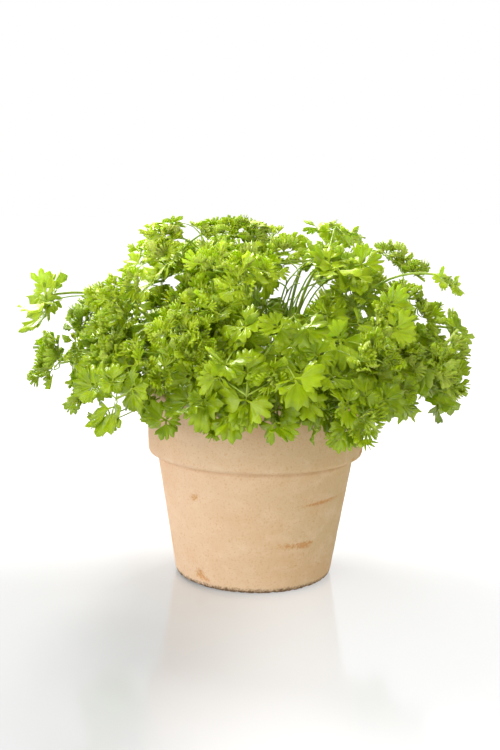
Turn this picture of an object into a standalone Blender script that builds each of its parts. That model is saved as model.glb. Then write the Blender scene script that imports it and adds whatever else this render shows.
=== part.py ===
"""Potted parsley: a terracotta pot, its potting soil, and parsley leaf stalks with their leaves.

Metres, +Z up. The origin is the middle of the pot's foot, on the surface it stands on.
-Y is the side that the plant is looked at from, and +X is that view's right.
"""

import math
import random

import bmesh
import bpy
from mathutils import Matrix, Vector

GAP = 0.0003                  # clearance that pieces which touch keep

# Pot
POT_HEIGHT = 0.1225
RIM_RADIUS = 0.0705           # outside, at the top of the rim band
BAND_FOOT_RADIUS = 0.0690     # outside, where the rim band ends
BODY_TOP_RADIUS = 0.0631      # outside, just under the rim band
FOOT_RADIUS = 0.0506
BAND_FOOT_Z = 0.0821
BODY_TOP_Z = 0.0790
RIM_WALL = 0.0070
BODY_WALL = 0.0060
FLOOR_THICKNESS = 0.0070
DRAIN_RADIUS = 0.0095
RIM_ROUND = 0.0025            # rounding of the lip's two edges
FOOT_ROUND = 0.0030
POT_SIDES = 56
CREASE_ANGLE = 35             # degrees; a turned shape is smooth where its faces meet at less
WELD = 1e-6                   # vertices closer than this become one

# Soil
SOIL_TOP_Z = 0.1070
SOIL_MOUND = 0.0040           # how much the soil rises towards the middle
SOIL_SIDES = 40
SOIL_CLEARANCE = 0.0006       # between the soil and the pot's wall
SOIL_EDGE_CLEARANCE = 0.0012  # the same at the soil's top edge, where the wall bends
MOUND_RINGS = (0.75, 0.45)    # where the mound's slope changes, as shares of the way out

# Leaf stalks
STALK_RADIUS = 0.0011
BRANCH_RADIUS = 0.0008
ROOTING_RADIUS = 0.036        # the stalks come out of the soil within this radius
ROOTING_SHARE = 0.30          # and this share of the way out to their leaf
FORK_AT = 0.70                # where along a stalk its two side branches leave it
STALK_STEPS = 8
BRANCH_STEPS = 4
BRANCH_BOW = 0.004            # how far a side branch arches up
# A stalk's arch: it rises for this share of its height while it leans out by this share,
LIFT_SHARE = 0.62
LEAN_SHARE = 0.10
LEAST_RISE = 0.050
# and then comes to its leaf from this share of the way in, level or from just above it
LEVEL_SHARE = 0.42
LEVEL_LIFT = 0.018            # for a leaf at least LEVEL_REACH out from the middle
LEVEL_REACH = 0.080
LEVEL_DROP = 0.006

# Leaves
LEAF_REACH = 0.0290           # from the stalk's end to the tip of the middle leaflet
LEAF_THICKNESS = 0.0008
LEAF_DROOP = 0.0085           # how far the leaflets' tips bend down
# A leaf's leaflets: the way each points, in degrees from the middle one, and its length as a share
LEAFLETS = ((-112, 0.74), (-56, 0.92), (0, 1.0), (56, 0.92), (112, 0.74))
# One leaflet's outline round its lobes: degrees from its midrib, share of its length
LEAFLET_OUTLINE = ((-27, 0.40), (-19, 0.90), (-9, 0.82), (0, 1.0), (9, 0.82), (19, 0.90), (27, 0.40))
LEAF_BACK = 0.12
SIDE_LEAF_SIZE = 0.92         # of a stalk's side leaves against its end leaf
SIDE_LEAF_TURN = 50           # degrees that a side leaf points away from the end leaf
SIDE_STEP = 0.011             # the left side leaf is this much higher, and the right one lower
TURN_VARIATION = 16           # degrees
SIZE_VARIATION = 0.06
GROWTH_DIP = 0.020            # how much the leaves over the middle lean down

# The foliage is a low dome, and each leaf lies along its surface.
DOME_CENTRE = Vector((0, 0, 0.112))
DOME_RADII = Vector((0.150, 0.142, 0.122))

# Stalks with an end leaf and two side leaves: where the end leaf sits, then how far
# the side leaves stand back from it and out to each side, and how much higher they are
THREE_LEAF_STALKS = {
    "far_left": ((-0.1290, -0.055, 0.183), 0.038, 0.030, -0.004),
    "left_low": ((-0.1230, -0.030, 0.139), 0.036, 0.023, 0.024),
    "front_left": ((-0.0800, -0.096, 0.130), 0.024, 0.026, 0.034),
    "front_middle": ((-0.0060, -0.127, 0.139), 0.026, 0.024, 0.030),
    "front_right": ((0.0600, -0.104, 0.126), 0.018, 0.023, 0.040),
    "right_low": ((0.1090, -0.056, 0.141), 0.034, 0.021, 0.002),
    "far_right": ((0.1345, 0.008, 0.160), 0.038, 0.032, 0.030),
    "top_right": ((0.0524, -0.04, 0.207), 0.030, 0.033, 0.009),
    "top_left": ((-0.0655, -0.026, 0.209), 0.031, 0.033, 0.008),
    "back_left": ((-0.1062, 0.082, 0.131), 0.036, 0.032, 0.012),
    "back_middle": ((-0.0064, 0.13, 0.131), 0.030, 0.032, 0.030),
    "back_right": ((0.0900, 0.094, 0.132), 0.034, 0.032, 0.042),
}
# Stalks with one leaf: where it sits, and its size against the others' end leaves
ONE_LEAF_STALKS = {
    "top_middle": ((-0.0055, 0.014, 0.222), 1.0),
    "top_back": ((-0.0207, 0.078, 0.200), 1.0),
    "top_front": ((-0.0120, -0.088, 0.204), 1.0),
    "top_back_right": ((0.0477, 0.062, 0.209), 1.0),
    "right_outlier": ((0.1145, -0.04, 0.198), 0.62),
}

TERRACOTTA = ("terracotta", (0.70, 0.50, 0.30, 1), 0.85)
SOIL = ("potting_soil", (0.045, 0.028, 0.017, 1), 0.95)
LEAF_GREEN = ("parsley_leaf", (0.22, 0.42, 0.02, 1), 0.45)
STALK_GREEN = ("parsley_stalk", (0.38, 0.52, 0.08, 1), 0.40)


def clear_scene():
    for obj in list(bpy.data.objects):
        bpy.data.objects.remove(obj)


def finish_of(look):
    """The Principled material called look[0], made the first time it is asked for."""
    name, colour, roughness = look
    found = bpy.data.materials.get(name)
    if found:
        return found
    made = bpy.data.materials.new(name)
    made.use_nodes = True
    shader = made.node_tree.nodes["Principled BSDF"]
    shader.inputs["Base Color"].default_value = colour
    shader.inputs["Roughness"].default_value = roughness
    shader.inputs["Metallic"].default_value = 0.0
    return made


def add_object(name, mesh, look):
    obj = bpy.data.objects.new(name, mesh)
    bpy.context.scene.collection.objects.link(obj)
    mesh.materials.append(finish_of(look))
    return obj


def rounded(corner, before, after, radius, steps=3):
    """Points of the arc that rounds a corner between two straight stretches of a profile."""
    back = (before - corner).normalized()
    ahead = (after - corner).normalized()
    half = back.angle(ahead) / 2
    trim = radius / math.tan(half)
    middle = corner + (back + ahead).normalized() * (radius / math.sin(half))
    first = corner + back * trim - middle
    turn = math.pi - 2 * half
    sense = 1 if back.cross(ahead) < 0 else -1
    points = []
    for step in range(steps + 1):
        points.append(middle + Matrix.Rotation(sense * turn * step / steps, 2) @ first)
    return points


def turned_mesh(name, profile, sides, closed):
    """A profile of (radius, height) points spun round Z: a closed ring, or a line from axis to axis."""
    bm = bmesh.new()
    points = [bm.verts.new((p[0], 0, p[1])) for p in profile]
    edges = [bm.edges.new((points[i - 1], points[i])) for i in range(0 if closed else 1, len(points))]
    bmesh.ops.spin(
        bm, geom=points + edges, cent=(0, 0, 0), axis=(0, 0, 1),
        angle=2 * math.pi, steps=sides, use_merge=True, use_duplicate=False,
    )
    bmesh.ops.remove_doubles(bm, verts=bm.verts, dist=WELD)
    bmesh.ops.recalc_face_normals(bm, faces=bm.faces)
    mesh = bpy.data.meshes.new(name)
    bm.to_mesh(mesh)
    bm.free()
    mesh.shade_smooth()
    mesh.set_sharp_from_angle(angle=math.radians(CREASE_ANGLE))
    return mesh


def body_wall_inside(z):
    """The inside radius of the pot's tapering wall at a height."""
    outside = FOOT_RADIUS + (BODY_TOP_RADIUS - FOOT_RADIUS) * z / BODY_TOP_Z
    return min(outside - BODY_WALL, RIM_RADIUS - RIM_WALL)


def build_pot():
    lip_inside = Vector((RIM_RADIUS - RIM_WALL, POT_HEIGHT))
    lip_outside = Vector((RIM_RADIUS, POT_HEIGHT))
    band_foot = Vector((BAND_FOOT_RADIUS, BAND_FOOT_Z))
    body_top = Vector((BODY_TOP_RADIUS, BODY_TOP_Z))
    foot = Vector((FOOT_RADIUS, 0))
    floor_corner = Vector((body_wall_inside(FLOOR_THICKNESS), FLOOR_THICKNESS))
    profile = [
        Vector((DRAIN_RADIUS, 0)),
        *rounded(foot, Vector((0, 0)), body_top, FOOT_ROUND),
        body_top,
        band_foot,
        *rounded(lip_outside, band_foot, lip_inside, RIM_ROUND),
        *rounded(lip_inside, lip_outside, floor_corner, RIM_ROUND),
        Vector((body_wall_inside(BODY_TOP_Z), BODY_TOP_Z)),
        floor_corner,
        Vector((DRAIN_RADIUS, FLOOR_THICKNESS)),
    ]
    add_object("terracotta_pot", turned_mesh("terracotta_pot", profile, POT_SIDES, True), TERRACOTTA)


def build_soil():
    bottom = FLOOR_THICKNESS + GAP
    edge = body_wall_inside(SOIL_TOP_Z) - SOIL_EDGE_CLEARANCE
    profile = [
        Vector((0, bottom)),
        Vector((body_wall_inside(bottom) - SOIL_CLEARANCE, bottom)),
        Vector((body_wall_inside(BODY_TOP_Z) - SOIL_CLEARANCE, BODY_TOP_Z)),
        Vector((edge, SOIL_TOP_Z)),
        *[Vector((edge * share, SOIL_TOP_Z + SOIL_MOUND * (1 - share * share))) for share in MOUND_RINGS],
        Vector((0, SOIL_TOP_Z + SOIL_MOUND)),
    ]
    add_object("potting_soil", turned_mesh("potting_soil", profile, SOIL_SIDES, False), SOIL)


def soil_height(x, y):
    edge = body_wall_inside(SOIL_TOP_Z)
    share = math.hypot(x, y) / edge
    return SOIL_TOP_Z + SOIL_MOUND * (1 - share * share)


def outward_at(place):
    """The dome's outward direction at a leaf's place."""
    away = place - DOME_CENTRE
    return Vector([away[i] / DOME_RADII[i] ** 2 for i in range(3)]).normalized()


def leaf_frame(place, turn):
    """A leaf's rotation: +Z out of the dome, +Y down and away from the middle, then turned about +Z."""
    upper_side = outward_at(place)
    radial = Vector((place.x, place.y, -GROWTH_DIP))
    growth = (radial - upper_side * radial.dot(upper_side)).normalized()
    growth = Matrix.Rotation(math.radians(turn), 3, upper_side) @ growth
    across = growth.cross(upper_side)
    return Matrix((across, growth, upper_side)).transposed()


def leaf_mesh(name, size):
    """Five lobed leaflets spread round the stalk's end, at the origin, with the middle one along +Y."""
    bm = bmesh.new()
    outline = []
    for turn, length in LEAFLETS:
        for angle, share in LEAFLET_OUTLINE:
            heading = math.radians(turn + angle)
            reach = LEAF_REACH * size * length * share
            height = -LEAF_DROOP * (reach / LEAF_REACH) ** 2
            outline.append(bm.verts.new((math.sin(heading) * reach, math.cos(heading) * reach, height)))
    outline.append(bm.verts.new((0, -LEAF_BACK * LEAF_REACH * size, 0)))
    outline.reverse()
    face = bm.faces.new(outline)
    middle = bmesh.ops.poke(bm, faces=[face])["verts"][0]
    middle.co = (0, 0, 0)
    bm.normal_update()
    mesh = bpy.data.meshes.new(name)
    bm.to_mesh(mesh)
    bm.free()
    return mesh


def build_leaf(name, place, turn, size):
    variation = random.Random(name)
    turn += variation.uniform(-TURN_VARIATION, TURN_VARIATION)
    size *= 1 + variation.uniform(-SIZE_VARIATION, SIZE_VARIATION)
    leaf = add_object(name, leaf_mesh(name, size), LEAF_GREEN)
    leaf.location = place
    leaf.rotation_euler = leaf_frame(place, turn).to_euler()
    thickness = leaf.modifiers.new("thickness", "SOLIDIFY")
    thickness.thickness = LEAF_THICKNESS
    thickness.offset = -1
    return leaf


def under_leaf(place, radius):
    """Where a stalk of this radius stops, just under the leaf that sits at place."""
    return place - outward_at(place) * (LEAF_THICKNESS + radius + GAP)


def bezier(points, t):
    a, b, c, d = points
    s = 1 - t
    return a * s ** 3 + b * 3 * s * s * t + c * 3 * s * t * t + d * t ** 3


def stalk_route(end):
    """Control points of a stalk's arch from the soil to its end leaf."""
    out = Vector((end.x, end.y, 0))
    foot = out * min(ROOTING_SHARE, ROOTING_RADIUS / out.length)
    foot.z = soil_height(foot.x, foot.y) + GAP
    rise = max(end.z - foot.z, LEAST_RISE)
    lift = foot + out * LEAN_SHARE + Vector((0, 0, rise * LIFT_SHARE))
    bend = LEVEL_LIFT * min(out.length / LEVEL_REACH, 1) - LEVEL_DROP
    level = end - out * LEVEL_SHARE + Vector((0, 0, bend))
    return foot, lift, level, end


def tube_mesh(name, points, radius, tip_radius):
    """A round stalk through the points, thinner towards its end."""
    curve = bpy.data.curves.new(name, "CURVE")
    curve.dimensions = "3D"
    curve.bevel_depth = radius
    curve.bevel_resolution = 1
    curve.use_fill_caps = True
    line = curve.splines.new("POLY")
    line.points.add(len(points) - 1)
    for i, point in enumerate(points):
        line.points[i].co = (*point, 1)
        line.points[i].radius = 1 + (tip_radius / radius - 1) * i / (len(points) - 1)
    holder = bpy.data.objects.new(name, curve)
    mesh = bpy.data.meshes.new_from_object(holder)
    bpy.data.objects.remove(holder)
    bpy.data.curves.remove(curve)
    bm = bmesh.new()
    bm.from_mesh(mesh)
    bmesh.ops.remove_doubles(bm, verts=bm.verts, dist=WELD)
    bmesh.ops.recalc_face_normals(bm, faces=bm.faces)
    bm.to_mesh(mesh)
    bm.free()
    mesh.shade_smooth()
    return mesh


def build_stalk(name, end_leaf, side_leaves):
    route = stalk_route(under_leaf(end_leaf, BRANCH_RADIUS))
    points = [bezier(route, i / STALK_STEPS) for i in range(STALK_STEPS + 1)]
    stalk = add_object(name, tube_mesh(name, points, STALK_RADIUS, BRANCH_RADIUS), STALK_GREEN)
    fork = bezier(route, FORK_AT)
    for side, place in side_leaves.items():
        end = under_leaf(place, BRANCH_RADIUS)
        bow = (fork + end) / 2 + Vector((0, 0, BRANCH_BOW))
        branch_route = (fork, bow, bow, end)
        points = [bezier(branch_route, i / BRANCH_STEPS) for i in range(BRANCH_STEPS + 1)]
        branch_name = f"{name}_{side}_branch"
        branch_mesh = tube_mesh(branch_name, points, BRANCH_RADIUS, BRANCH_RADIUS)
        branch = add_object(branch_name, branch_mesh, STALK_GREEN)
        branch.hide_render = True
        branch.display_type = "WIRE"
        join = stalk.modifiers.new(side, "BOOLEAN")
        join.operation = "UNION"
        join.object = branch


def build_three_leaf_stalk(name, end, back, aside, up):
    end = Vector(end)
    out = Vector((end.x, end.y, 0)).normalized()
    across = Vector((-out.y, out.x, 0))
    side_leaves = {}
    for side, sign in (("left", 1), ("right", -1)):
        place = end - out * back + across * sign * aside + Vector((0, 0, up + sign * SIDE_STEP))
        side_leaves[side] = place
        build_leaf(f"leaf_{name}_{side}", place, sign * SIDE_LEAF_TURN, SIDE_LEAF_SIZE)
    build_leaf(f"leaf_{name}_end", end, 0, 1)
    build_stalk(f"stalk_{name}", end, side_leaves)


def main():
    clear_scene()
    build_pot()
    build_soil()
    for name, (end, back, aside, up) in THREE_LEAF_STALKS.items():
        build_three_leaf_stalk(name, end, back, aside, up)
    for name, (end, size) in ONE_LEAF_STALKS.items():
        build_leaf(f"leaf_{name}", Vector(end), 0, size)
        build_stalk(f"stalk_{name}", Vector(end), {})


main()
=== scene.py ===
# Potted parsley: a bush of glossy, partly curled parsley in a dusty clay pot.
import math
import random

import bmesh
import bpy
from mathutils import Matrix, Vector, noise


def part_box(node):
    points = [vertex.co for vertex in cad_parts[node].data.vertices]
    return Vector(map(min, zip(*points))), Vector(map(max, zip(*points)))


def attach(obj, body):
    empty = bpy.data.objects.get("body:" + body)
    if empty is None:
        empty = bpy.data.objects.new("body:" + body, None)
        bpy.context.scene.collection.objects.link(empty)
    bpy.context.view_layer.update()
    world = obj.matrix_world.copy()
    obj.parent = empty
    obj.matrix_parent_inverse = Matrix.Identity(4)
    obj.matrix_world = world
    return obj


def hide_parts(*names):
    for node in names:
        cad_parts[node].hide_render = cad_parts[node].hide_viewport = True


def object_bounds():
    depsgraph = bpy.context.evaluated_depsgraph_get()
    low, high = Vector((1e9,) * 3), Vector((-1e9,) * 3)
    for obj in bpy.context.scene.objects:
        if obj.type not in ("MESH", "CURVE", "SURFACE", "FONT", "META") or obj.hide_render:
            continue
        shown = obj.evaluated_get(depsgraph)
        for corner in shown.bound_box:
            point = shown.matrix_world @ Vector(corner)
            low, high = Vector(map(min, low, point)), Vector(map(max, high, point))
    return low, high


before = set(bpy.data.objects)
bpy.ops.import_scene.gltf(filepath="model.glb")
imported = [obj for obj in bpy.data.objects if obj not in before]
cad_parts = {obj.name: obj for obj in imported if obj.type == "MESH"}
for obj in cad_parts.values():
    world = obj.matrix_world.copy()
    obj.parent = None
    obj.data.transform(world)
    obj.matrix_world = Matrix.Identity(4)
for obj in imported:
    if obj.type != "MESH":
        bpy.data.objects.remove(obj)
cadLow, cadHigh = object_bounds()
bodyName = "root"
mm = 0.001
up = Vector((0, 0, 1))


def srgb(code):
    # a hex colour as the linear RGBA that shaders take
    parts = [int(code[i:i + 2], 16) / 255 for i in (1, 3, 5)]
    linear = [c / 12.92 if c <= 0.04045 else ((c + 0.055) / 1.055) ** 2.4 for c in parts]
    return (*linear, 1)


def addNode(tree, kind, inputs=None, stops=None, **settings):
    # one node, with its settings, its values or links by socket, and a ramp's stops
    node = tree.nodes.new(kind)
    for name, value in settings.items():
        setattr(node, name, value)
    for name, value in (inputs or {}).items():
        if isinstance(value, bpy.types.NodeSocket):
            tree.links.new(value, node.inputs[name])
        else:
            node.inputs[name].default_value = value
    if stops:
        ramp = node.color_ramp.elements
        while len(ramp) < len(stops):
            ramp.new(1)
        for element, (position, colour) in zip(ramp, stops):
            element.position = position
            element.color = colour
    return node


def newMaterial(name):
    material = bpy.data.materials.new(name)
    material.use_nodes = True
    tree = material.node_tree
    return material, tree, tree.nodes["Principled BSDF"]


def addPiece(name, mesh, slot, nodes, *materials):
    # a finished piece, at the origin, riding on the one body
    piece = bpy.data.objects.new(name, mesh)
    bpy.context.scene.collection.objects.link(piece)
    for material in materials:
        mesh.materials.append(material)
    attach(piece, bodyName)
    if nodes:
        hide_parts(*nodes)
    return piece


def meshFrom(bm, name, smooth=True):
    mesh = bpy.data.meshes.new(name)
    bm.to_mesh(mesh)
    bm.free()
    if smooth:
        mesh.shade_smooth()
    return mesh


def grain(point, size, seed=0):
    # smooth noise of about -1 to 1, with lumps of the given size in metres
    return noise.noise(point / size + Vector((seed, seed * 1.7, seed * 0.3)))


potShape = {
    "height": 122.5 * mm,
    "rimRadius": 70.5 * mm,
    "bandFootRadius": 69.0 * mm,
    "bandFootZ": 82.1 * mm,
    "bodyTopRadius": 63.1 * mm,
    "bodyTopZ": 79.0 * mm,
    "footRadius": 50.6 * mm,
    "rimWall": 7.0 * mm,
    "bodyWall": 6.0 * mm,
    "floor": 7.0 * mm,
    "drainRadius": 9.5 * mm,
    "turns": 288,
    "throwRing": 0.06 * mm,      # height of the rings that the thrower's fingers leave
    "wobble": 0.35 * mm,
    "grit": 0.07 * mm,
    "chip": 1.6 * mm,            # how deep the foot's edge is chipped
}


def arcPoints(centre, radius, start, end, steps):
    # points (radius, height) of an arc in the turned profile, angles in degrees
    points = []
    for step in range(steps + 1):
        angle = math.radians(start + (end - start) * step / steps)
        points.append((centre[0] + radius * math.cos(angle), centre[1] + radius * math.sin(angle)))
    return points


def straightPoints(first, last, steps):
    return [
        (first[0] + (last[0] - first[0]) * i / steps, first[1] + (last[1] - first[1]) * i / steps)
        for i in range(1, steps)
    ]


def potProfile():
    p = potShape
    foot = 3.0 * mm
    lip = 2.4 * mm
    groove = 0.7 * mm
    innerTop = p["rimRadius"] - p["rimWall"]
    points = [(p["drainRadius"] + 1.5 * mm, 0.0)]
    points += straightPoints(points[0], (p["footRadius"] - foot, 0.0), 14)
    points += arcPoints((p["footRadius"] - foot * 0.93, foot), foot, -90, -6, 8)
    wallTop = (p["bodyTopRadius"], p["bodyTopZ"] - 1.2 * mm)
    points += straightPoints(points[-1], wallTop, 66)
    points.append(wallTop)
    # a thin line scored under the band
    points.append((p["bodyTopRadius"] - groove, p["bodyTopZ"] - 0.4 * mm))
    points.append((p["bodyTopRadius"] - groove * 0.4, p["bodyTopZ"] + 0.5 * mm))
    bandFoot = (p["bandFootRadius"], p["bandFootZ"])
    chamferTop = (bandFoot[0] - 0.5 * mm, bandFoot[1] - 1.2 * mm)
    points += straightPoints(points[-1], chamferTop, 5)
    points.append(chamferTop)
    points.append((bandFoot[0] + 0.1 * mm, bandFoot[1] + 0.5 * mm))
    bandTop = (p["rimRadius"], p["height"] - lip)
    points += straightPoints(points[-1], bandTop, 26)
    points += arcPoints((p["rimRadius"] - lip, p["height"] - lip), lip, 0, 90, 7)
    points += arcPoints((innerTop + lip, p["height"] - lip), lip, 90, 180, 7)
    innerBody = p["bodyTopRadius"] - p["bodyWall"]
    points += straightPoints(points[-1], (innerBody, p["bodyTopZ"]), 8)
    points.append((innerBody, p["bodyTopZ"]))
    innerFoot = p["footRadius"] - p["bodyWall"] + 1.0 * mm
    points += straightPoints(points[-1], (innerFoot, p["floor"]), 12)
    points.append((innerFoot, p["floor"]))
    points += straightPoints(points[-1], (p["drainRadius"], p["floor"]), 8)
    points.append((p["drainRadius"], p["floor"]))
    points.append((p["drainRadius"], 1.5 * mm))
    points.append((p["drainRadius"] + 0.5 * mm, 0.5 * mm))
    return points


# Dents, scrapes and smears, one by one: the way round from the front in degrees, height, half sizes
# along and up, how steeply it climbs, depth, and how much bare rusty clay shows in it
potMarks = [
    (-38, 60.0, 3.0, 2.0, 0.2, 0.45, 1.0),
    (-30, 61.5, 3.0, 0.9, 0.3, 0.10, 0.35),
    (46, 57.8, 15.0, 1.0, 0.05, 0.9, 1.3),
    (52, 59.2, 9.0, 1.2, 0.06, -0.25, -0.4),
    (34, 31.0, 5.4, 1.9, 0.05, 0.2, 1.3),
    (22, 31.5, 6.5, 1.9, 0.0, 0.05, 0.7),
    (-40, 8.6, 3.2, 3.2, 0.0, 0.8, 1.2),
    (-34, 6.0, 2.4, 1.6, 0.0, 0.3, 0.7),
    (-74, 20.0, 1.3, 8.0, 0.0, 0.2, 0.8),
    (51, 15.0, 3.0, 0.5, 0.25, 0.35, 0.5),
    (29, 18.0, 4.0, 1.8, 0.1, 0.1, 0.35),
    (-21, 69.5, 9.0, 0.45, -0.12, 0.2, 0.3),
    (76, 84.0, 6.0, 1.6, 0.1, 0.9, 1.0),
    (62, 82.5, 2.0, 1.0, 0.0, 0.5, 0.9),
    (140, 45.0, 8.0, 1.4, 0.1, 0.6, 0.8),
    (-150, 30.0, 5.0, 2.4, -0.2, 0.4, 0.7),
    (175, 66.0, 3.0, 2.0, 0.0, 0.3, 0.8),
    (-115, 52.0, 7.0, 0.8, 0.3, 0.5, 0.6),
    (105, 22.0, 4.0, 3.0, 0.0, 0.2, 0.6),
]


def outerRadius(z):
    p = potShape
    if z > p["bodyTopZ"]:
        return p["bandFootRadius"]
    return p["footRadius"] + (p["bodyTopRadius"] - p["footRadius"]) * z / p["bodyTopZ"]


def markDepths(place):
    # how deep the marks go at a place on the outside of the pot, and how bare it is there
    turn = math.degrees(math.atan2(place.x, -place.y))
    depth = 0
    bare = 0
    for markTurn, height, along, upward, climb, sink, rust in potMarks:
        across = math.radians(turn - markTurn) * outerRadius(place.z) / mm
        rise = place.z / mm - height - across * climb
        if abs(across) > 3 * along or abs(rise) > 3 * upward + 2:
            continue
        ragged = 1 + 0.5 * grain(place, 2.4 * mm, 2) + 0.3 * grain(place, 0.9 * mm, 6)
        reach = (across / along) ** 2 + (rise / upward) ** 2
        share = math.exp(-reach) * ragged
        depth += sink * mm * share
        bare += rust * min(1.0, share * 1.3)
    return depth, bare


def weatherPot(bm):
    # hand-made unevenness: a slow wobble, throwing rings, grit, marks and a chipped gritty foot
    bareness = bm.verts.layers.float.new("bareClay")
    footGritAndGrooveShade = bm.verts.layers.float.new("footGritAndGrooveShade")
    bmesh.ops.recalc_face_normals(bm, faces=bm.faces)
    bm.normal_update()
    p = potShape
    for vert in bm.verts:
        place = vert.co.copy()
        radius = math.hypot(place.x, place.y)
        if radius < p["footRadius"] - 5 * mm:
            continue
        outward = Vector((place.x, place.y, 0)).normalized()
        outside = place.z < 1 * mm or vert.normal.dot(outward) > 0
        push = p["wobble"] * grain(Vector((place.x, place.y, place.z * 0.5)), 60 * mm, 3)
        push += p["grit"] * grain(place, 2.5 * mm, 11)
        if outside:
            ring = math.sin(place.z / (2.6 * mm) + 1.5 * grain(place, 50 * mm, 5))
            push += p["throwRing"] * ring * (0.4 + 0.6 * abs(grain(place, 30 * mm, 9)))
            depth, bare = markDepths(place)
            push -= depth
            low = max(0.0, 1 - place.z / (5.0 * mm))
            crumbling = abs(grain(place, 3.2 * mm, 21)) + 0.6 * abs(grain(place, 1.1 * mm, 4))
            push -= p["chip"] * low ** 1.5 * min(1.0, crumbling) * (radius / p["footRadius"]) ** 6
            vert[bareness] = max(0.0, bare)
            # soil grit darkens the foot's edge; the broken dark line in the groove under the band is
            # painted shade
            edge = max(0.0, 1 - place.z / (5.5 * mm)) * min(1.0, 0.5 + crumbling * 1.6)
            inGroove = math.exp(-((place.z - p["bodyTopZ"] + 0.2 * mm) / (0.7 * mm)) ** 2)
            broken = 0.5 + 0.9 * grain(place, 14 * mm, 17)
            vert[footGritAndGrooveShade] = min(1.0, max(0.0, edge * 1.3 + 0.4 * inGroove * broken))
        step = vert.normal * push
        if place.z < 2.5 * mm:
            step.z = max(step.z, 0)      # the foot never reaches under the surface it stands on
        vert.co = place + step
        vert.co.z = max(vert.co.z, 0.0)


def buildPot():
    bm = bmesh.new()
    verts = [bm.verts.new((radius, 0, z)) for radius, z in potProfile()]
    edges = [bm.edges.new((verts[i - 1], verts[i])) for i in range(len(verts))]
    bmesh.ops.spin(
        bm, geom=verts + edges, cent=(0, 0, 0), axis=(0, 0, 1), angle=2 * math.pi,
        steps=potShape["turns"], use_merge=True, use_duplicate=False,
    )
    bmesh.ops.remove_doubles(bm, verts=bm.verts, dist=1e-6)
    weatherPot(bm)
    mesh = meshFrom(bm, "clayPot")
    addPiece("clayPot", mesh, "terracotta", ["terracotta_pot"], terracottaMaterial())


clayLook = {
    "paintedLitSide": "#E6C5A6",     # painted light: the paler left side, where the light falls
    "paintedShadedSide": "#D2B586",     # painted shade: the darker right side, away from the light
    "warm": "#DDA877",       # redder clay where the bloom is thin
    "bloom": "#F0D8BA",      # lime and salts dried on the surface
    "rust": "#C68A48",       # bare clay in dents and scrapes
    "footGritAndGrooveShade": "#5C4428",       # soil grit round the foot, and painted shade in the groove under the band
    "cloud": 38 * mm,        # across the broad blushes
    "patch": 13 * mm,        # across the blotches of salts
    "speck": 1.3 * mm,       # across the grit, coarser than real so that it shows
}


def terracottaMaterial():
    # low-fired terracotta, unglazed and thrown: matte and chalky, faintly blotched with dried salts
    material, tree, shader = newMaterial("limeBloomedTerracotta")
    look = clayLook
    place = addNode(tree, "ShaderNodeTexCoord").outputs["Object"]
    flat = addNode(tree, "ShaderNodeMapping", {"Vector": place, "Scale": (1, 1, 1.5)}).outputs[0]
    cloud = addNode(tree, "ShaderNodeTexNoise", {"Vector": flat, "Scale": 1 / look["cloud"], "Detail": 3})
    patch = addNode(tree, "ShaderNodeTexNoise", {
        "Vector": flat, "Scale": 1 / look["patch"], "Detail": 6, "Roughness": 0.6, "Distortion": 0.4})
    speck = addNode(tree, "ShaderNodeTexNoise", {
        "Vector": place, "Scale": 1 / look["speck"], "Detail": 3, "Roughness": 0.6})
    paintedShadeAcross = addNode(tree, "ShaderNodeSeparateXYZ", {0: place})
    ragged = addNode(tree, "ShaderNodeMapRange", {
        "Value": speck.outputs[0], "From Min": 0.35, "From Max": 0.65, "To Min": 0.2, "To Max": 0.9})
    bare = addNode(tree, "ShaderNodeAttribute", attribute_name="bareClay").outputs["Fac"]
    scuffed = addNode(tree, "ShaderNodeMath", {0: bare, 1: ragged.outputs[0]}, operation="MULTIPLY")
    footGritAndGrooveShade = addNode(tree, "ShaderNodeAttribute", attribute_name="footGritAndGrooveShade").outputs["Fac"]
    speckledGritAndGrooveShade = addNode(tree, "ShaderNodeMath", {0: footGritAndGrooveShade, 1: speck.outputs[0]}, operation="MULTIPLY")
    # each coat over the ones before: its pattern, where it starts and is full, how much it covers
    coats = (
        # painted light and shade: the clay is paler on the left and darker on the right, as if lit from the
        # left
        (paintedShadeAcross, -60 * mm, 60 * mm, 1.0, "paintedShadedSide"),
        (cloud, 0.45, 0.75, 0.32, "warm"),
        (patch, 0.46, 0.76, 0.38, "bloom"),
        (speck, 0.54, 0.72, 0.42, "rust"),
        (scuffed, 0.08, 0.55, 0.72, "rust"),
        # soil grit round the foot, and painted shade in the groove under the band
        (speckledGritAndGrooveShade, 0.16, 0.42, 0.85, "footGritAndGrooveShade"),
    )
    clay = srgb(look["paintedLitSide"])
    for pattern, start, full, cover, colour in coats:
        share = addNode(tree, "ShaderNodeMapRange", {
            "Value": pattern.outputs[0], "From Min": start, "From Max": full, "To Max": cover})
        coated = addNode(tree, "ShaderNodeMix", {
            "Factor": share.outputs[0], "A": clay, "B": srgb(look[colour])}, data_type="RGBA")
        clay = coated.outputs["Result"]
    tree.links.new(clay, shader.inputs["Base Color"])
    shader.inputs["Roughness"].default_value = 0.88
    shader.inputs["IOR"].default_value = 1.5
    shader.inputs["Specular IOR Level"].default_value = 0.25
    pores = addNode(tree, "ShaderNodeBump", {
        "Height": speck.outputs[0], "Strength": 0.55, "Distance": 0.35 * mm})
    tree.links.new(pores.outputs[0], shader.inputs["Normal"])
    return material


soilShape = {
    "rings": 26,
    "sides": 72,
    "lump": 1.6 * mm,
    "crumbs": 420,
    "perlite": 36,
    "seed": 8,
    "mound": 4 * mm,             # how much it rises towards the middle
}


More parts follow.
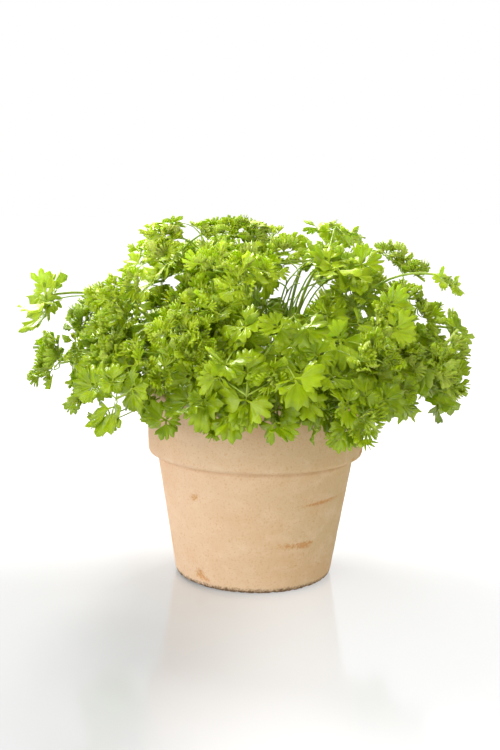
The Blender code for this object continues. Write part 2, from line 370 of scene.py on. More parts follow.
def buildSoil():
    low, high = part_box("potting_soil")
    edge = (high.x - low.x) / 2
    rim = high.z - soilShape["mound"]
    bm = bmesh.new()
    p = potShape
    bottom = p["footRadius"] - p["bodyWall"]
    bend = p["bodyTopRadius"] - p["bodyWall"] - 1 * mm
    wall = [(0.0, low.z), (bottom, low.z), (bend, p["bodyTopZ"]), (edge - 0.2 * mm, rim - 1 * mm)]
    verts = [bm.verts.new((radius, 0, z)) for radius, z in wall]
    for ring in range(soilShape["rings"], -1, -1):
        share = ring / soilShape["rings"]
        verts.append(bm.verts.new((edge * 0.985 * share, 0, rim + (high.z - rim) * (1 - share * share))))
    edges = [bm.edges.new((verts[i], verts[i + 1])) for i in range(len(verts) - 1)]
    bmesh.ops.spin(
        bm, geom=verts + edges, cent=(0, 0, 0), axis=(0, 0, 1), angle=2 * math.pi,
        steps=soilShape["sides"], use_merge=True, use_duplicate=False,
    )
    bmesh.ops.remove_doubles(bm, verts=bm.verts, dist=1e-6)
    bmesh.ops.recalc_face_normals(bm, faces=bm.faces)
    for vert in bm.verts:
        if vert.co.z > rim - 0.5 * mm:
            rough = abs(grain(vert.co, 5 * mm, 7)) * 1.2 - abs(grain(vert.co, 1.8 * mm, 13)) * 0.8
            vert.co.z += soilShape["lump"] * (rough - 0.35)
    crumbs = random.Random(soilShape["seed"])
    scatterCrumbs(bm, crumbs, soilShape["crumbs"], edge, rim, high.z, (0.7 * mm, 2.0 * mm))
    addPiece("soilSurface", meshFrom(bm, "soilSurface"), "potting_soil", ["potting_soil"], soilMaterial())
    grit = bmesh.new()
    scatterCrumbs(grit, crumbs, soilShape["perlite"], edge, rim, high.z, (0.7 * mm, 1.5 * mm))
    addPiece("perliteGrains", meshFrom(grit, "perliteGrains", False), "potting_soil", [], perliteMaterial())


def scatterCrumbs(bm, draw, count, edge, rim, crown, sizes):
    for _ in range(count):
        share = math.sqrt(draw.random()) * 0.95
        turn = draw.uniform(0, 2 * math.pi)
        size = draw.uniform(*sizes)
        z = rim + (crown - rim) * (1 - share * share) + size * 0.25
        place = Matrix.Translation((math.cos(turn) * edge * share, math.sin(turn) * edge * share, z))
        crumb = bmesh.ops.create_icosphere(bm, subdivisions=1, radius=size, matrix=place)["verts"]
        middle = place.translation
        for vert in crumb:
            vert.co = middle + (vert.co - middle) * draw.uniform(0.6, 1.15)


def soilMaterial():
    # damp peat compost, crumbled: near black, with lighter fibres
    material, tree, shader = newMaterial("dampPeatCompost")
    place = addNode(tree, "ShaderNodeTexCoord").outputs["Object"]
    fibres = addNode(tree, "ShaderNodeTexNoise", {
        "Vector": place, "Scale": 1 / (1.4 * mm), "Detail": 6, "Roughness": 0.7})
    shade = addNode(tree, "ShaderNodeValToRGB", {"Fac": fibres.outputs[0]}, stops=[
        (0.35, srgb("#1B120B")), (0.55, srgb("#3A281A")), (0.75, srgb("#6B4D33"))])
    tree.links.new(shade.outputs[0], shader.inputs["Base Color"])
    shader.inputs["Roughness"].default_value = 0.95
    shader.inputs["Specular IOR Level"].default_value = 0.25
    bump = addNode(tree, "ShaderNodeBump", {
        "Height": fibres.outputs[0], "Strength": 0.8, "Distance": 0.6 * mm})
    tree.links.new(bump.outputs[0], shader.inputs["Normal"])
    return material


def perliteMaterial():
    # expanded volcanic glass, popped by heat: dull white and pitted
    material, tree, shader = newMaterial("expandedPerlite")
    place = addNode(tree, "ShaderNodeTexCoord").outputs["Object"]
    pits = addNode(tree, "ShaderNodeTexNoise", {"Vector": place, "Scale": 1 / (0.5 * mm), "Detail": 2})
    shade = addNode(tree, "ShaderNodeValToRGB", {"Fac": pits.outputs[0]}, stops=[
        (0.35, srgb("#A39A8B")), (0.6, srgb("#E4DFD5"))])
    tree.links.new(shade.outputs[0], shader.inputs["Base Color"])
    shader.inputs["Roughness"].default_value = 0.9
    return material


leafletShape = {
    "rows": (0, 0.22, 0.62, 1.0),        # where the rows of corners lie between neck and edge
    "spread": (0.02, 0.16, 0.94, 1.0),   # how much of its full width the leaflet has there
    "neck": 0.35 * mm,
    "thickness": 0.26 * mm,
}
# How a leaflet's edge divides: fingers, faces in each, depth of the cuts between fingers
leafletCuts = {
    "broad": (5, 4, (0.12, 0.16, 0.31, 0.31, 0.16, 0.12)),
    "plain": (5, 4, (0.10, 0.31, 0.15, 0.15, 0.31, 0.10)),
    "fine": (5, 3, (0.2, 0.42, 0.46, 0.46, 0.42, 0.2)),
}
# Where the corners of a finger's faces lie across it, and how far out they reach
fingerSteps = {3: (0, 0.24, 0.76), 4: (0, 0.18, 0.5, 0.82)}
fingerReach = {3: (0, 0.97, 0.97), 4: (0, 0.90, 1.0, 0.90)}


def edgePlace(kind, column):
    # the finger, the place across the fan from 0 to 1, and the reach of one point of the edge
    fingers, faces, cuts = leafletCuts[kind]
    finger, step = divmod(column, faces)
    if step == 0:
        return min(finger, fingers - 1), finger / fingers, 1 - cuts[finger]
    across = (finger + fingerSteps[faces][step]) / fingers
    return finger, across, fingerReach[faces][step]


def addLeaflet(bm, layers, seat, length, draw, kind, toneAndShade):
    # one fan of rounded fingers on a short neck, growing along the seat's +Y, upper side along +Z
    fingers, faces, _ = leafletCuts[kind]
    columns = fingers * faces
    rows = len(leafletShape["rows"]) - 1
    curly = kind == "fine"
    grid = bmesh.ops.create_grid(bm, x_segments=columns, y_segments=rows, size=1)["verts"]
    fold = draw.uniform(0.04, 0.32)
    bend = draw.uniform(-1.6, 1.0) if curly else draw.uniform(-0.4, 1.0)
    ruffle = draw.uniform(0.10, 0.18) if curly else draw.uniform(0.03, 0.09)
    waves = draw.uniform(3.5, 5.5) if curly else draw.uniform(1.8, 3.2)
    phase = draw.uniform(0, 6.28)
    half = math.radians(draw.uniform(34, 48) if curly else draw.uniform(40, 54))
    skew = draw.uniform(-0.16, 0.16)
    twist = draw.uniform(-0.5, 0.5)
    uneven = [draw.uniform(0.92, 1.04) for _ in range(fingers)]
    for vert in grid:
        column = round((vert.co.x + 1) / 2 * columns)
        row = round((vert.co.y + 1) / 2 * rows)
        share = leafletShape["rows"][row]
        finger, across, reach = edgePlace(kind, column)
        off = across * 2 - 1
        reach *= (1 - 0.20 * off * off) * uneven[finger]
        radius = length * share * (1 + (reach - 1) * share ** 1.3)
        heading = (off + skew * share) * half * leafletShape["spread"][row]
        x = math.sin(heading) * radius + off * leafletShape["neck"] * (1 - share)
        y = math.cos(heading) * radius
        rise = fold * abs(x) + length * ruffle * share ** 2 * math.sin(phase + off * waves * math.pi)
        rise += length * 0.04 * share * share * math.cos(off * 3 * math.pi) + x * twist * share
        if abs(bend) > 0.01:
            arc = length / bend
            turn = bend * y / length
            y, rise = math.sin(turn) * (arc + rise), math.cos(turn) * (arc + rise) - arc
        vert.co = seat @ Vector((x, y, rise))
        vert[layers["toneAndShade"]] = toneAndShade
        for loop in vert.link_loops:
            loop[layers["map"]].uv = (across * fingers / 8, share)


def leafSeat(place, growth, upperSide):
    # a frame with +Y along the growth and +Z on the leaf's upper side
    upperSide = upperSide.normalized()
    growth = (growth - upperSide * growth.dot(upperSide)).normalized()
    across = growth.cross(upperSide)
    turn = Matrix((across, growth, upperSide)).transposed().to_4x4()
    return Matrix.Translation(place) @ turn


flatCluster = {
    "turns": (0, -68, 68, -128, 128),
    "shares": (1.0, 0.90, 0.90, 0.66, 0.66),
}


def addFlatCluster(bm, layers, seat, reach, draw, toneAndShade):
    # three to five broad leaflets spread round the end of a stalk
    kind = draw.choice(("broad", "broad", "plain"))
    count = draw.choice((3, 5, 5, 5))
    for turn, share in list(zip(flatCluster["turns"], flatCluster["shares"]))[:count]:
        spread = Matrix.Rotation(math.radians(-turn + draw.uniform(-14, 14)), 4, "Z")
        tip = Matrix.Rotation(draw.uniform(-0.45, 0.60), 4, "X")
        roll = Matrix.Rotation(draw.uniform(-0.55, 0.55), 4, "Y")
        length = reach * share * draw.uniform(0.86, 1.10)
        shade = toneAndShade + draw.uniform(-0.12, 0.12)
        addLeaflet(bm, layers, seat @ spread @ tip @ roll, length, draw, kind, shade)


def addCurlyCluster(bm, layers, seat, reach, draw, toneAndShade):
    # a tuft of small curled leaflets that stand every way off the upper side
    for index in range(draw.choice((10, 11, 12))):
        spread = Matrix.Rotation(index * 2.4 + draw.uniform(-0.3, 0.3), 4, "Z")
        tip = Matrix.Rotation(draw.uniform(0.0, 1.15), 4, "X")
        roll = Matrix.Rotation(draw.uniform(-0.8, 0.8), 4, "Y")
        out = Matrix.Translation((0, reach * draw.uniform(0.02, 0.45), 0))
        length = reach * draw.uniform(0.46, 0.70)
        shade = toneAndShade + draw.uniform(-0.18, 0.18)
        addLeaflet(bm, layers, seat @ spread @ tip @ out @ roll, length, draw, "fine", shade)


crownShape = {"depth": 8 * mm, "press": 0.66}


def underCrown(bm):
    # what would stand above the plant's crown bends over instead
    level = cadHigh.z - crownShape["depth"]
    for vert in bm.verts:
        if vert.co.z > level:
            vert.co.z = level + (vert.co.z - level) * crownShape["press"]


# The leaves near the crown are younger and paler than the low ones
crownPaling = {"from": 158 * mm, "over": 55 * mm, "most": 0.22}


def bladesMesh(name, clusters, draw):
    # the leaf clusters of one piece, still without thickness
    bm = bmesh.new()
    layers = {"map": bm.loops.layers.uv.new("leafMap"), "toneAndShade": bm.verts.layers.float.new("leafTone")}
    for cluster in clusters:
        seat = leafSeat(cluster["place"], cluster["growth"], cluster["upperSide"])
        adder = addCurlyCluster if cluster["curly"] else addFlatCluster
        paler = (cluster["place"].z - crownPaling["from"]) / crownPaling["over"]
        toneAndShade = cluster["toneAndShade"] + crownPaling["most"] * min(max(paler, -0.5), 1.0)
        adder(bm, layers, seat, cluster["reach"], draw, toneAndShade)
    underCrown(bm)
    return meshFrom(bm, name)


def addBlades(name, clusters, draw, nodes):
    # leaf blades with a wax-bright upper skin and a paler lower one
    blades = addPiece(name, bladesMesh(name, clusters, draw), "parsley_leaf", nodes, upperSkin, lowerSkin)
    wall = blades.modifiers.new("bladeThickness", "SOLIDIFY")
    wall.thickness = leafletShape["thickness"]
    wall.offset = -1
    wall.material_offset = 1
    return blades


leafLook = {
    "upper": ("#5E7600", "#9CB302", "#B6D024"),     # in deep shade, usual, young
    "lower": ("#748A20", "#9FB236", "#BECB5C"),
    "vein": "#B6CA38",
}


def leafMaterial(name, colours, roughness, veinShare):
    # living leaf blade under a thin wax: half gloss, ribbed by veins, and light glows through it
    material, tree, shader = newMaterial(name)
    place = addNode(tree, "ShaderNodeTexCoord").outputs["Object"]
    leafMap = addNode(tree, "ShaderNodeUVMap", uv_map="leafMap")
    split = addNode(tree, "ShaderNodeSeparateXYZ", {0: leafMap.outputs[0]})
    finger = addNode(tree, "ShaderNodeMath", {0: split.outputs[0], 1: 8.0}, operation="MULTIPLY")
    inFinger = addNode(tree, "ShaderNodeMath", {0: finger.outputs[0]}, operation="FRACT")
    fromMiddle = addNode(tree, "ShaderNodeMath", {0: inFinger.outputs[0], 1: 0.5}, operation="SUBTRACT")
    away = addNode(tree, "ShaderNodeMath", {0: fromMiddle.outputs[0]}, operation="ABSOLUTE")
    vein = addNode(tree, "ShaderNodeMapRange", {
        "Value": away.outputs[0], "From Min": 0.03, "From Max": 0.16, "To Min": 1.0, "To Max": 0.0})
    # the tone: random variety, paler near the crown, and painted shade on fronds deep in the bush
    toneAndShade = addNode(tree, "ShaderNodeAttribute", attribute_name="leafTone")
    mottle = addNode(tree, "ShaderNodeTexNoise", {"Vector": place, "Scale": 1 / (6 * mm), "Detail": 4})
    shift = addNode(tree, "ShaderNodeMapRange", {
        "Value": mottle.outputs[0], "From Min": 0.3, "From Max": 0.7, "To Min": -0.16, "To Max": 0.16})
    level = addNode(tree, "ShaderNodeMath", {0: toneAndShade.outputs["Fac"], 1: shift.outputs[0]}, operation="ADD")
    shade = addNode(tree, "ShaderNodeValToRGB", {"Fac": level.outputs[0]}, stops=[
        (0.0, srgb(colours[0])), (0.55, srgb(colours[1])), (1.0, srgb(colours[2]))])
    veinMix = addNode(tree, "ShaderNodeMath", {0: vein.outputs[0], 1: veinShare}, operation="MULTIPLY")
    veined = addNode(tree, "ShaderNodeMix", {
        "Factor": veinMix.outputs[0], "A": shade.outputs[0], "B": srgb(leafLook["vein"])}, data_type="RGBA")
    tree.links.new(veined.outputs["Result"], shader.inputs["Base Color"])
    shader.inputs["Roughness"].default_value = roughness
    shader.inputs["IOR"].default_value = 1.45
    shader.inputs["Specular IOR Level"].default_value = 0.6
    shader.inputs["Subsurface Weight"].default_value = 0.6
    shader.inputs["Subsurface Radius"].default_value = (0.8, 1.0, 0.1)
    shader.inputs["Subsurface Scale"].default_value = 1.0 * mm
    wrinkle = addNode(tree, "ShaderNodeTexNoise", {"Vector": place, "Scale": 1 / (1.3 * mm), "Detail": 3})
    relief = addNode(tree, "ShaderNodeMath", {
        0: wrinkle.outputs[0], 1: vein.outputs[0]}, operation="SUBTRACT")
    bump = addNode(tree, "ShaderNodeBump", {
        "Height": relief.outputs[0], "Strength": 0.3, "Distance": 0.15 * mm})
    tree.links.new(bump.outputs[0], shader.inputs["Normal"])
    return material


def stalkMaterial():
    # juicy ribbed stalk: paler and yellower than the blades, smooth
    material, tree, shader = newMaterial("ribbedParsleyStalk")
    place = addNode(tree, "ShaderNodeTexCoord").outputs["Object"]
    streak = addNode(tree, "ShaderNodeTexNoise", {"Vector": place, "Scale": 1 / (9 * mm), "Detail": 3})
    shade = addNode(tree, "ShaderNodeValToRGB", {"Fac": streak.outputs[0]}, stops=[
        (0.3, srgb("#84A41C")), (0.7, srgb("#BACB58"))])
    tree.links.new(shade.outputs[0], shader.inputs["Base Color"])
    shader.inputs["Roughness"].default_value = 0.35
    shader.inputs["Subsurface Weight"].default_value = 0.4
    shader.inputs["Subsurface Radius"].default_value = (0.7, 1.0, 0.2)
    shader.inputs["Subsurface Scale"].default_value = 1.5 * mm
    return material


stalkShape = {
    "footRadius": 1.15 * mm,
    "forkRadius": 0.9 * mm,
    "tipRadius": 0.45 * mm,
    "forkAt": 0.70,
    "steps": 18,
    "branchSteps": 7,
    "sides": 8,
    "rootingRadius": 36 * mm,
    "rootingShare": 0.30,
}


def bezier(points, t):
    a, b, c, d = points
    s = 1 - t
    return a * s ** 3 + b * 3 * s * s * t + c * 3 * s * t * t + d * t ** 3


def soilHeight(x, y):
    low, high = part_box("potting_soil")
    edge = (high.x - low.x) / 2
    share = min(1.0, math.hypot(x, y) / edge)
    return high.z - soilShape["mound"] * share * share


def stalkRoute(end, foot=None):
    # control points of the arch from the soil to the end cluster
    out = Vector((end.x, end.y, 0))
    if foot is None:
        share = min(stalkShape["rootingShare"], stalkShape["rootingRadius"] / max(out.length, mm))
        foot = out * share
    foot = Vector((foot.x, foot.y, soilHeight(foot.x, foot.y) - 1 * mm))
    rise = max(end.z - foot.z, 50 * mm)
    lift = foot + out * 0.10 + up * rise * 0.62
    level = end - out * 0.42 + up * (18 * mm * min(out.length / (80 * mm), 1) - 6 * mm)
    return foot, lift, level, end


def branchRoute(route, fork, place):
    # a side branch leaves the stalk in the stalk's own direction, and bows over to its leaf
    along = (bezier(route, stalkShape["forkAt"] + 0.05) - fork).normalized()
    span = (place - fork).length
    return fork, fork + along * span * 0.35, place - (place - fork) * 0.35 + up * 2 * mm, place


def addTube(bm, route, steps, radii):
    # a ribbed round stem along a route, made of rings joined one to the next
    rings = []
    side = None
    for step in range(steps + 1):
        t = step / steps
        place = bezier(route, t)
        ahead = (bezier(route, min(1, t + 0.01)) - bezier(route, max(0, t - 0.01))).normalized()
        if side is None:
            side = ahead.orthogonal().normalized()
        side = (side - ahead * side.dot(ahead)).normalized()
        turn = Matrix((side, ahead.cross(side), ahead)).transposed().to_4x4()
        radius = radii[0] + (radii[1] - radii[0]) * t
        ring = bmesh.ops.create_circle(
            bm, segments=stalkShape["sides"], radius=radius, cap_ends=step in (0, steps),
            matrix=Matrix.Translation(place) @ turn,
        )["verts"]
        rings.append(ring)
    for before, after in zip(rings, rings[1:]):
        edges = {edge for vert in before + after for edge in vert.link_edges
                 if edge.other_vert(vert) in before or edge.other_vert(vert) in after}
        ringEdges = [edge for edge in edges if (edge.verts[0] in before) == (edge.verts[1] in before)]
        bmesh.ops.bridge_loops(bm, edges=ringEdges)


def stemMesh(name, routes):
    bm = bmesh.new()
    for route, steps, radii in routes:
        addTube(bm, route, steps, radii)
    underCrown(bm)
    bmesh.ops.recalc_face_normals(bm, faces=bm.faces)
    return meshFrom(bm, name)


# The bush is half a round dome that stands at the height of the soil, a little wider than the frame
domeCentre = Vector((0, 0, 112 * mm))
domeMargin = 2 * mm
domeRadii = Vector((
    (cadHigh.x - cadLow.x) / 2 + domeMargin,
    (cadHigh.y - cadLow.y) / 2 + domeMargin,
    cadHigh.z - domeCentre.z,
))


def outwardAt(place):
    away = place - domeCentre
    return Vector([away[i] / domeRadii[i] ** 2 for i in range(3)]).normalized()


def cadLeafSeat(node):
    # where a CAD leaf's stalk meets it, its upper side, its growth and its reach, from its own mesh
    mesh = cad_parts[node].data
    uses = {}
    for triangle in mesh.polygons:
        for index in triangle.vertices:
            key = tuple(round(c, 5) for c in mesh.vertices[index].co)
            uses[key] = uses.get(key, 0) + 1
    first, second = (Vector(key) for key in sorted(uses, key=uses.get)[-2:])
    if (second - domeCentre).length > (first - domeCentre).length:
        first, second = second, first
    upperSide = (first - second).normalized()
    points = [Vector(key) for key in uses]
    growth = sum((point - first for point in points), Vector()) / len(points)
    reach = max((point - first).length for point in points)
    return {"place": second, "growth": growth, "upperSide": upperSide, "reach": reach}


upperSkin = leafMaterial("waxyBladeUpperSkin", leafLook["upper"], 0.30, 0.16)
lowerSkin = leafMaterial("paleBladeLowerSkin", leafLook["lower"], 0.60, 0.30)
stem = stalkMaterial()
cadLeafPose = {
    "curlyShare": 0.3,           # how many of the frame's leaves are curly
    "tones": (0.32, 0.72),
    "sway": 0.35,                # how unevenly the clusters are tilted
    "sink": 5 * mm,              # how far the clusters on top of the bush sink into it
    "lowBelow": 150 * mm,        # leaves lower than this, if they hang,
    "raise": 7 * mm,             # are raised clear of the pot's rim by this
}
outerMargin = 16 * mm            # from the outermost clusters' middles to the sides of the frame's box
# Where a leaf's clusters sit and point: across and along it as shares of its reach, degrees, size
leafPlan = ((0, 0.36, 0, 0.58), (0.46, 0.0, 62, 0.52), (-0.46, 0.0, -62, 0.52), (0, -0.10, 170, 0.44))


def drawnIn(place):
    # the outermost clusters are drawn in, so that their leaflets stay near the frame's own box
    for axis in (0, 1):
        place[axis] = min(max(place[axis], cadLow[axis] + outerMargin), cadHigh[axis] - outerMargin)
    return place


def buildCadStalk(node):
    # one stalk of the frame, with the leaves it carries
    name = node.removeprefix("stalk_")
    draw = random.Random(name)
    ends = [n for n in (f"leaf_{name}_end", f"leaf_{name}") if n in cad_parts]
    forked = f"leaf_{name}_end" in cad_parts
    sides = [f"leaf_{name}_left", f"leaf_{name}_right"] if forked else []
    seats = {leaf: cadLeafSeat(leaf) for leaf in ends + sides}
    end = seats[ends[0]]["place"]
    route = stalkRoute(end)
    s = stalkShape
    routes = [(route, s["steps"], (s["footRadius"], s["forkRadius"] * 0.8))]
    fork = bezier(route, s["forkAt"])
    for leaf in sides:
        branch = branchRoute(route, fork, seats[leaf]["place"])
        routes.append((branch, s["branchSteps"], (s["forkRadius"] * 0.75, s["tipRadius"])))
    for leaf, seat in seats.items():
        curly = draw.random() < cadLeafPose["curlyShare"]
        toneAndShade = draw.uniform(*cadLeafPose["tones"])
        clusters = []
        frameSeat = leafSeat(seat["place"], seat["growth"], seat["upperSide"])
        high = max(0.0, seat["upperSide"].z) ** 3        # near 1 for the leaves on top of the bush
        isLow = seat["place"].z < cadLeafPose["lowBelow"]
        hangs = max(0.0, -seat["growth"].normalized().z) if isLow else 0.0
        for across, along, turn, size in leafPlan:
            lift = draw.uniform(-1, 3) * mm - high * cadLeafPose["sink"]
            place = frameSeat @ Vector((across * seat["reach"], along * seat["reach"], lift))
            place = drawnIn(place + up * hangs * cadLeafPose["raise"])
            heading = frameSeat.to_3x3() @ Matrix.Rotation(math.radians(-turn), 3, "Z") @ Vector((0, 1, 0))
            sway = cadLeafPose["sway"] + 0.5 * high
            tilt = Vector([draw.uniform(-sway, sway) for _ in range(3)])
            if nearWindow(place) and (clusters or across == 0):
                continue
            clusters.append({
                "place": place, "growth": heading + up * (high * draw.uniform(0, 0.9) + hangs * 0.3),
                "upperSide": seat["upperSide"] + tilt,
                "reach": size * seat["reach"] * draw.uniform(0.95, 1.12),
                "curly": curly or draw.random() < 0.1, "toneAndShade": toneAndShade + draw.uniform(-0.1, 0.1),
            })
            under = (seat["place"] + place) / 2 - seat["upperSide"] * 2.5 * mm
            routes.append(((seat["place"], under, under, place), 4, (s["tipRadius"], s["tipRadius"] * 0.7)))
        addBlades(leaf.replace("leaf_", "blades_"), clusters, draw, [leaf])
    addPiece(f"stem_{name}", stemMesh(node, routes), "parsley_stalk", [node], stem)


fillShape = {
    "fronds": 112,
    "seed": 41,
    "turn": 2.39996,             # radians from one frond to the next, the golden angle
    "shares": (0.52, 0.87),      # of the dome's radii, where their ends lie
    "reach": (14 * mm, 20 * mm),
    "back": (14, 24),            # mm from the end to the side clusters, along the stalk
    "aside": (16, 26),           # and across it
    "curlyShare": 0.24,
    "tones": (0.40, 0.85),
    "thin": 0.72,                # how much thinner their stalks are than the frame's
    "lowFronds": 30,             # of these, how many hang low all the way round
    "lowShares": (0.76, 0.90),
}


# A gap through the leaves, right of the middle and high up, where bare stalks and the light behind show
windowPlace = Vector((20 * mm, -60 * mm, cadHigh.z - 42 * mm))
windowWay = Vector((0.04, 0.99, -0.09)).normalized()
windowRadius = 19 * mm


def nearWindow(place):
    away = place - windowPlace
    return (away - windowWay * away.dot(windowWay)).length < windowRadius


def buildFillFrond(index, draw):
    # a smaller frond inside the bush, between the ones of the frame
    turn = index * fillShape["turn"]
    low = index < fillShape["lowFronds"]
    rise = draw.uniform(0.02, 0.42) if low else 1.04 * index / fillShape["fronds"] - 0.06
    lift = math.asin(min(rise, 0.98))
    share = draw.uniform(*fillShape["lowShares" if low else "shares"])
    way = Vector((math.cos(turn) * math.cos(lift), math.sin(turn) * math.cos(lift), math.sin(lift)))
    end = domeCentre + Vector([way[i] * domeRadii[i] * share for i in range(3)])
    route = stalkRoute(end)
    s = stalkShape
    thin = fillShape["thin"]
    routes = [(route, s["steps"] - 4, (s["footRadius"] * thin, s["tipRadius"] * thin))]
    out = outwardAt(end)
    along = (bezier(route, 1) - bezier(route, 0.95)).normalized()
    across = along.cross(out).normalized()
    clusters = []
    places = [] if nearWindow(end) else [(end, along + out * 0.2)]
    fork = bezier(route, s["forkAt"])
    for sign in (-1, 1):
        back = draw.uniform(*fillShape["back"]) * mm
        place = end - along * back + across * sign * draw.uniform(*fillShape["aside"]) * mm
        place = drawnIn(place + out * draw.uniform(-3, 7) * mm)
        if nearWindow(place):
            continue
        places.append((place, across * sign + along * 0.6))
        branch = branchRoute(route, fork, place)
        routes.append((branch, s["branchSteps"], (s["forkRadius"] * 0.6, s["tipRadius"] * thin)))
    curlyFrond = draw.random() < fillShape["curlyShare"]
    if not places:
        return                   # a frond wholly in the gap is left out
    for place, growth in places:
        tilt = Vector([draw.uniform(-0.6, 0.6) for _ in range(3)])
        clusters.append({
            "place": place, "growth": growth, "upperSide": outwardAt(place) + tilt + up * 0.25,
            "reach": draw.uniform(*fillShape["reach"]), "curly": curlyFrond or draw.random() < 0.1,
            # painted shade: the deeper a frond ends inside the bush, the darker its tone
            "toneAndShade": draw.uniform(*fillShape["tones"]) - (fillShape["shares"][1] - share),
        })
    addBlades(f"fillBlades_{index:02d}", clusters, draw, [])
    addPiece(f"fillStem_{index:02d}", stemMesh("fillStem", routes), "parsley_stalk", [], stem)


# Groups placed one by one round the rim, in the crown's tuft and on the outliers: the way round from the
# front in degrees, how far outside the rim and how far above it in mm, reach in mm, whether curly,
# how far they hang, and tone
rimGroups = (
    (26, 38, -10, 13, False, 0.9, 0.62),
    (29, 36, 0, 12, True, 0.8, 0.55),
    (-16, 38, 9, 17, False, 0.8, 0.50),
    (-2, 41, 12, 16, False, 0.9, 0.45),
    (-41, 20, -3, 13, True, 0.9, 0.60),
    (9, 30, 2, 15, True, 0.7, 0.12),
    (36, 33, 6, 18, False, 0.5, 0.85),
    (20, 34, 8, 14, True, 0.6, 0.30),
    (56, 35, 2, 10, False, 0.6, 0.25),
    (-70, 46, -4, 11, False, 0.7, 0.40),
    (-65, 38, -16, 10, False, 0.9, 0.45),
    (-58, 33, -14, 10, False, 0.9, 0.40),
    (-50, 45, 14, 19, False, 0.4, 0.72),
    (-8, 55, 33, 18, False, 0.2, 0.55),
    (9, 55, 26, 19, False, 0.4, 0.55),
    (80, 48, 2, 18, False, 0.6, 0.55),
    (-27, 45, 20, 16, True, 0.5, 0.50),
    (150, 36, 6, 15, False, 0.8, 0.55),
    (-140, 34, 2, 14, True, 0.8, 0.50),
    (110, 38, 5, 15, False, 0.7, 0.60),
    (-105, 36, 8, 15, True, 0.7, 0.45),
    (-66, -4, 96, 17, True, -0.3, 0.80),
    (-82, -6, 84, 15, True, -0.2, 0.72),
    (-54, -4, 94, 15, True, -0.5, 0.85),
    (-62, -10, 105, 15, False, -0.9, 0.70),
    (38, 2, 80, 20, False, 0.2, 0.60),
    (33, 48, 38, 15, True, 0.2, 0.55),
    (38, 46, 30, 14, True, 0.3, 0.45),
    (28, 50, 33, 14, True, 0.3, 0.62),
    (-70, 45, 26, 14, True, 0.5, 0.50),
    (-70, 46, 10, 15, False, 0.7, 0.60),
    (-68, 62, 58, 13, False, 0.6, 0.62),
)


def buildRimGroups():
    low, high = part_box("terracotta_pot")
    rimRadius = (high.x - low.x) / 2
    draw = random.Random(fillShape["seed"] + 1)
    s = stalkShape
    for index, (turn, outside, above, reach, curly, hang, toneAndShade) in enumerate(rimGroups):
        angle = math.radians(turn)
        out = Vector((math.sin(angle), -math.cos(angle), 0))
        place = out * (rimRadius + outside * mm) + up * (high.z + above * mm)
        growth = out * (1 - hang) - up * hang
        tilt = Vector([draw.uniform(-0.25, 0.25) for _ in range(3)])
        upperSide = out * (0.35 + hang) + up * (1.1 - hang) + tilt
        clusters = [{
            "place": place, "growth": growth, "upperSide": upperSide, "reach": reach * mm,
            "curly": curly, "toneAndShade": toneAndShade,
        }]
        addBlades(f"rimBlades_{index:02d}", clusters, draw, [])
        routes = [(stalkRoute(place), s["steps"] - 4, (s["footRadius"] * 0.7, s["tipRadius"] * 0.8))]
        addPiece(f"rimStem_{index:02d}", stemMesh("rimStem", routes), "parsley_stalk", [], stem)


def buildPlant():
    for node in sorted(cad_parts):
        if node.startswith("stalk_"):
            buildCadStalk(node)
    print("stalks and leaves of the frame made")
    draw = random.Random(fillShape["seed"])
    for index in range(fillShape["fronds"]):
        buildFillFrond(index, draw)
    print("inner fronds made")
    buildRimGroups()
    print("rim groups made")


studio = {
    "floorSize": 6.0,
    "cameraPlace": (-0.0044, -0.759, 0.2555),
    "cameraPitch": 9.45,
    "cameraRoll": 1.15,
    "lens": 57.5,
    "sensor": 36,
    "backdrop": 1.0,
    "brightRoom": 1.25,          # how much light comes from the upper left of the room
    "dimRoom": 0.42,             # and from the lower right
    "brightSide": (-0.70, -0.55, 0.45),
    "darkRoom": 0.03,            # what glossy things mirror, away from the backdrop
    "floorColour": "#B1B1B1",
    # each soft light: place, what it is aimed at, width across, and watts
    "lights": (
        ("keyLight", (-0.85, -0.90, 0.60), (0, 0, 0.13), 1.2, 7.2),
        ("backLight", (-0.50, 0.72, 1.15), (0, 0, 0.18), 0.7, 27),
    ),
    "brightGlow": 0.45,          # painted light: how strongly the floor glows where it glows most
    # where the painted glow fades in: to the right, to the far side, and away from the pot
    "paintedGlowStarts": ((-95 * mm, 40 * mm), (-60 * mm, 160 * mm), (260 * mm, 650 * mm)),
}


def floorMaterial():
    # a soft mirror over a pale body, with painted light: it glows a little, lifting the shadows on it
    material, tree, shader = newMaterial("glossySheetPaintedGlow")
    shader.inputs["Base Color"].default_value = srgb(studio["floorColour"])
    shader.inputs["Roughness"].default_value = 0.12
    shader.inputs["IOR"].default_value = 1.5
    shader.inputs["Emission Color"].default_value = (1, 1, 1, 1)
    place = addNode(tree, "ShaderNodeTexCoord").outputs["Object"]
    split = addNode(tree, "ShaderNodeSeparateXYZ", {0: place})
    away = addNode(tree, "ShaderNodeVectorMath", {0: place}, operation="LENGTH").outputs["Value"]
    brightest = 0.0
    for distance, (first, last) in zip((split.outputs[0], split.outputs[1], away), studio["paintedGlowStarts"]):
        share = addNode(tree, "ShaderNodeMapRange", {
            "Value": distance, "From Min": first, "From Max": last}, interpolation_type="SMOOTHSTEP")
        most = addNode(tree, "ShaderNodeMath", {0: share.outputs[0], 1: brightest}, operation="MAXIMUM")
        brightest = most.outputs[0]
    # painted light: the floor glows, most to the right, on the far side and away from the pot
    paintedGlowStrength = addNode(tree, "ShaderNodeMath", {0: brightest, 1: studio["brightGlow"]}, operation="MULTIPLY")
    tree.links.new(paintedGlowStrength.outputs[0], shader.inputs["Emission Strength"])
    return material


def buildFloor():
    bm = bmesh.new()
    bmesh.ops.create_grid(bm, x_segments=1, y_segments=1, size=studio["floorSize"])
    floor = bpy.data.objects.new("studioFloor", meshFrom(bm, "studioFloor", False))
    bpy.context.scene.collection.objects.link(floor)
    floor.data.materials.append(floorMaterial())


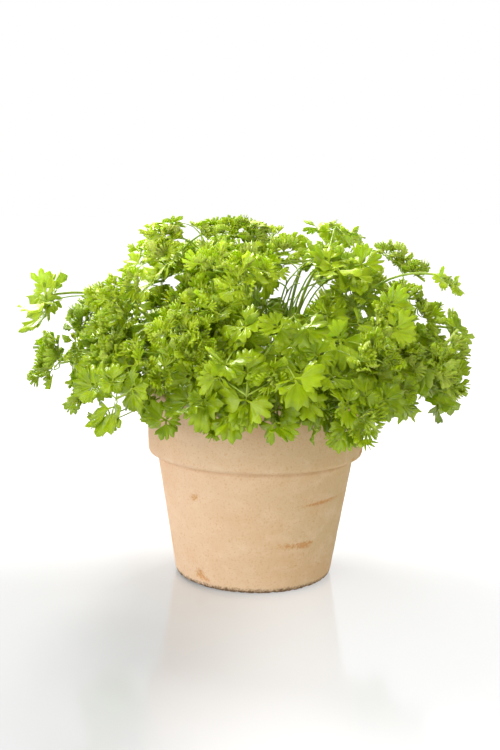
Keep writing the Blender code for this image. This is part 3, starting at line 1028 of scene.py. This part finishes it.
def addAreaLight(name, place, aim, size, power):
    light = bpy.data.lights.new(name, "AREA")
    light.shape = "DISK"
    light.size = size
    light.energy = power
    lamp = bpy.data.objects.new(name, light)
    lamp.location = place
    lamp.rotation_euler = (Vector(aim) - Vector(place)).to_track_quat("-Z", "Y").to_euler()
    bpy.context.scene.collection.objects.link(lamp)


def buildWorld():
    # a white backdrop where it is seen, and in mirrors near the floor's far side; light from the upper left
    world = bpy.data.worlds.new("studioRoom")
    world.use_nodes = True
    tree = world.node_tree
    tree.nodes.clear()
    rays = addNode(tree, "ShaderNodeLightPath").outputs
    way = addNode(tree, "ShaderNodeTexCoord").outputs["Generated"]
    towardsLight = addNode(tree, "ShaderNodeVectorMath", {
        0: way, 1: studio["brightSide"]}, operation="DOT_PRODUCT")
    soft = addNode(tree, "ShaderNodeMapRange", {
        "Value": towardsLight.outputs["Value"], "From Min": -1.0, "From Max": 1.0,
        "To Min": studio["dimRoom"], "To Max": studio["brightRoom"]})
    split = addNode(tree, "ShaderNodeSeparateXYZ", {0: way})
    behind = addNode(tree, "ShaderNodeMapRange", {
        "Value": split.outputs[1], "From Min": 0.2, "From Max": 0.7,
        "To Min": studio["darkRoom"], "To Max": studio["backdrop"]})
    seen = addNode(tree, "ShaderNodeBackground", {"Strength": studio["backdrop"]})
    mirrored = addNode(tree, "ShaderNodeBackground", {"Strength": behind.outputs[0]})
    lighting = addNode(tree, "ShaderNodeBackground", {"Strength": soft.outputs[0]})
    for background in (seen, mirrored, lighting):
        background.inputs["Color"].default_value = (1, 1, 1, 1)
    glossy = addNode(tree, "ShaderNodeMixShader", {
        0: rays["Is Glossy Ray"], 1: seen.outputs[0], 2: mirrored.outputs[0]})
    every = addNode(tree, "ShaderNodeMixShader", {
        0: rays["Is Diffuse Ray"], 1: glossy.outputs[0], 2: lighting.outputs[0]})
    addNode(tree, "ShaderNodeOutputWorld", {"Surface": every.outputs[0]})
    bpy.context.scene.world = world


def buildStudio():
    buildFloor()
    buildWorld()
    for name, place, aim, size, power in studio["lights"]:
        addAreaLight(name, place, aim, size, power)
    camera = bpy.data.objects.new("camera", bpy.data.cameras.new("camera"))
    camera.data.lens = studio["lens"]
    camera.data.sensor_width = studio["sensor"]
    camera.location = studio["cameraPlace"]
    tilt = Matrix.Rotation(math.radians(90 - studio["cameraPitch"]), 4, "X")
    roll = Matrix.Rotation(math.radians(studio["cameraRoll"]), 4, "Z")
    camera.rotation_euler = (tilt @ roll).to_euler()
    bpy.context.scene.collection.objects.link(camera)
    bpy.context.scene.camera = camera
    bpy.context.scene.view_settings.view_transform = "Standard"


buildPot()
print("pot made")
buildSoil()
print("soil made")
buildPlant()
buildStudio()
print("studio made")
